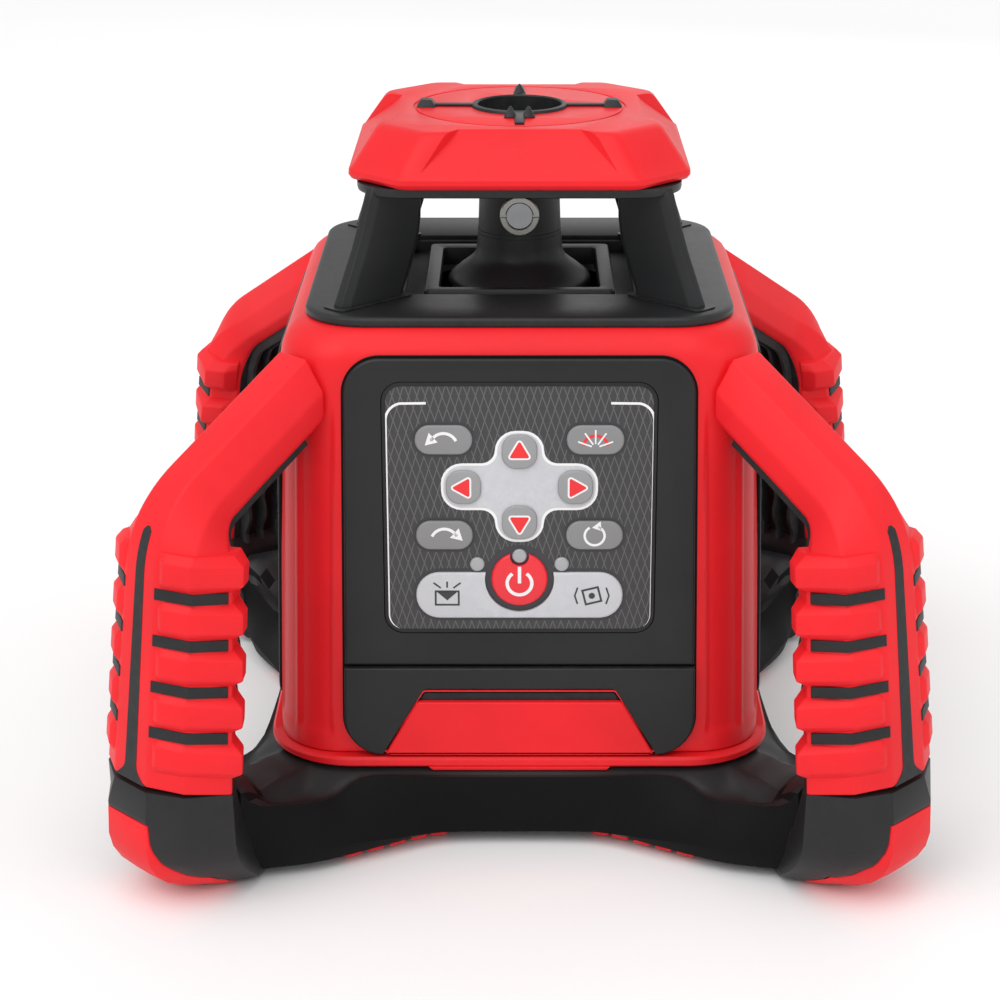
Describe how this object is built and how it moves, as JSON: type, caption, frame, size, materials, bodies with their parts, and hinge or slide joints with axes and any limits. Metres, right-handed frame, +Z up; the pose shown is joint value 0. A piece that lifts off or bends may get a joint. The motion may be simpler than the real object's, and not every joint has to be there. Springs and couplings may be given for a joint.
{
  "type": "rotating laser level",
  "caption": "Self-levelling rotating laser level: square housing with keypad, guarded rotor under a cap, corner carry handles and a splayed base with a tripod thread.",
  "frame": {"origin": "on the ground under the middle of the instrument", "axes": "+Z up along the rotor axis; the keypad faces -Y; +X to the right of someone facing the keypad"},
  "size_m": [0.2064, 0.2064, 0.184],
  "materials": {
    "black_plastic": "fine moulded texture, satin",
    "black_soft": "soft-touch moulding, matt",
    "red_soft": "soft overmoulding, satin",
    "red_plastic": "smooth moulding, semi-gloss",
    "sight_black": "satin",
    "rotor_black": "satin",
    "keypad_film": "embossed film with fine crossed lines",
    "key_grey": "embossed film, satin",
    "key_light": "embossed film, satin",
    "key_red": "embossed film, satin",
    "lamp": "clear moulding, gloss",
    "steel": "machined",
    "brass": "machined",
    "alloy": "die-cast and machined",
    "motor_can": "drawn can",
    "belt_rubber": "moulded",
    "optic": "polished",
    "board": "coated board",
    "cell": "shrink sleeve"
  },
  "bodies": {
    "housing": {"base_frame": "black_plastic", "deck_plate": "black_plastic", "rotor_well": "black_plastic", "guard_frame": "black_plastic", "front_bezel": "black_plastic", "side_panel_left": "black_plastic", "side_panel_right": "black_plastic", "rear_panel": "black_plastic", "battery_bay": "black_plastic", "handle_core_front_left": "black_soft", "handle_core_front_right": "black_soft", "handle_core_rear_right": "black_soft", "handle_core_rear_left": "black_soft", "handle_grip_front_left": "red_soft", "handle_grip_front_right": "red_soft", "handle_grip_rear_right": "red_soft", "handle_grip_rear_left": "red_soft", "foot_bumpers": "red_soft", "tread_strips": "red_soft", "body_shell": "red_plastic", "base_rim": "red_plastic", "cap": "red_plastic", "sight_ring": "sight_black", "keypad_membrane": "keypad_film", "led_lenses": "lamp", "case_screws": "steel", "battery_contacts": "steel", "charge_socket": "steel", "tripod_insert": "brass", "gimbal_bracket": "alloy", "level_motors": "motor_can", "circuit_boards": "board"},
    "battery_pack": {"battery_pack_case": "black_plastic", "battery_cells": "cell"},
    "battery_latch": {"battery_latch": "red_plastic"},
    "charge_cover": {"charge_cover": "black_soft"},
    "gimbal_ring": {"gimbal_ring": "alloy"},
    "laser_carriage": {"laser_carriage": "alloy", "laser_module": "alloy", "rotor_bearings": "steel", "spin_motor": "motor_can", "drive_belt": "belt_rubber"},
    "rotor": {"rotor_shaft": "steel", "rotor_head": "rotor_black", "rotor_optics": "optic", "lens_ring": "alloy"},
    "motor_pulley": {"motor_pulley": "brass"},
    "level_plunger_x": {"level_plunger_x": "steel"},
    "level_plunger_y": {"level_plunger_y": "steel"},
    "key_turn_left": {"key_turn_left": "key_grey"},
    "key_scan": {"key_scan": "key_grey"},
    "key_turn_right": {"key_turn_right": "key_grey"},
    "key_speed": {"key_speed": "key_grey"},
    "key_up": {"key_up": "key_grey"},
    "key_down": {"key_down": "key_grey"},
    "key_left": {"key_left": "key_grey"},
    "key_right": {"key_right": "key_grey"},
    "key_power": {"key_power": "key_red"},
    "key_manual": {"key_manual": "key_light"},
    "key_shock": {"key_shock": "key_light"}
  },
  "joints": [
    {"name": "turn_left_press", "type": "slide", "parent": "housing", "child": "key_turn_left", "axis": [0, 0.9996, -0.0272], "range_m": [0, 0.0008], "stiffness_N_per_m": 900, "springref_m": -0.0006},
    {"name": "scan_press", "type": "slide", "parent": "housing", "child": "key_scan", "axis": [0, 0.9996, -0.0272], "range_m": [0, 0.0008], "stiffness_N_per_m": 900, "springref_m": -0.0006},
    {"name": "turn_right_press", "type": "slide", "parent": "housing", "child": "key_turn_right", "axis": [0, 0.9996, -0.0272], "range_m": [0, 0.0008], "stiffness_N_per_m": 900, "springref_m": -0.0006},
    {"name": "speed_press", "type": "slide", "parent": "housing", "child": "key_speed", "axis": [0, 0.9996, -0.0272], "range_m": [0, 0.0008], "stiffness_N_per_m": 900, "springref_m": -0.0006},
    {"name": "up_press", "type": "slide", "parent": "housing", "child": "key_up", "axis": [0, 0.9996, -0.0272], "range_m": [0, 0.0008], "stiffness_N_per_m": 900, "springref_m": -0.0006},
    {"name": "down_press", "type": "slide", "parent": "housing", "child": "key_down", "axis": [0, 0.9996, -0.0272], "range_m": [0, 0.0008], "stiffness_N_per_m": 900, "springref_m": -0.0006},
    {"name": "left_press", "type": "slide", "parent": "housing", "child": "key_left", "axis": [0, 0.9996, -0.0272], "range_m": [0, 0.0008], "stiffness_N_per_m": 900, "springref_m": -0.0006},
    {"name": "right_press", "type": "slide", "parent": "housing", "child": "key_right", "axis": [0, 0.9996, -0.0272], "range_m": [0, 0.0008], "stiffness_N_per_m": 900, "springref_m": -0.0006},
    {"name": "power_press", "type": "slide", "parent": "housing", "child": "key_power", "axis": [0, 0.9996, -0.0272], "range_m": [0, 0.0008], "stiffness_N_per_m": 900, "springref_m": -0.0006},
    {"name": "manual_press", "type": "slide", "parent": "housing", "child": "key_manual", "axis": [0, 0.9996, -0.0272], "range_m": [0, 0.0008], "stiffness_N_per_m": 900, "springref_m": -0.0006},
    {"name": "shock_press", "type": "slide", "parent": "housing", "child": "key_shock", "axis": [0, 0.9996, -0.0272], "range_m": [0, 0.0008], "stiffness_N_per_m": 900, "springref_m": -0.0006},
    {"name": "battery_slide", "type": "slide", "parent": "housing", "child": "battery_pack", "axis": [0, -1, 0], "range_m": [0, 0.086]},
    {"name": "latch_hinge", "type": "hinge", "parent": "battery_pack", "child": "battery_latch", "pos_m": [0, -0.06491, 0.02635], "axis": [1, 0, 0], "range_deg": [0, 32], "stiffness_Nm_per_rad": 0.06, "springref_deg": -5.73},
    {"name": "charge_cover_hinge", "type": "hinge", "parent": "housing", "child": "charge_cover", "pos_m": [-0.022, 0.06339, 0.06572], "axis": [1, 0, 0], "range_deg": [0, 110]},
    {"name": "level_roll", "type": "hinge", "parent": "housing", "child": "gimbal_ring", "pos_m": [0, 0, 0.12], "axis": [1, 0, 0], "range_deg": [-5, 5]},
    {"name": "level_pitch", "type": "hinge", "parent": "gimbal_ring", "child": "laser_carriage", "pos_m": [0, 0, 0.12], "axis": [0, 1, 0], "range_deg": [-5, 5]},
    {"name": "rotor_spin", "type": "hinge", "parent": "laser_carriage", "child": "rotor", "pos_m": [0, 0, 0.13], "axis": [0, 0, 1], "continuous": true},
    {"name": "motor_pulley_spin", "type": "hinge", "parent": "laser_carriage", "child": "motor_pulley", "pos_m": [0, -0.018, 0.127], "axis": [0, 0, 1], "continuous": true},
    {"name": "plunger_y_slide", "type": "slide", "parent": "housing", "child": "level_plunger_y", "axis": [0, 0, 1], "range_m": [-0.0039, 0.0039]},
    {"name": "plunger_x_slide", "type": "slide", "parent": "housing", "child": "level_plunger_x", "axis": [0, 0, 1], "range_m": [-0.0039, 0.0039]}
  ],
  "couplings": [
    {"joint": "plunger_y_slide", "follows": "level_roll", "m_per_rad": 0.044},
    {"joint": "plunger_x_slide", "follows": "level_pitch", "m_per_rad": -0.044},
    {"joint": "motor_pulley_spin", "follows": "rotor_spin", "ratio": 2.2286}
  ]
}
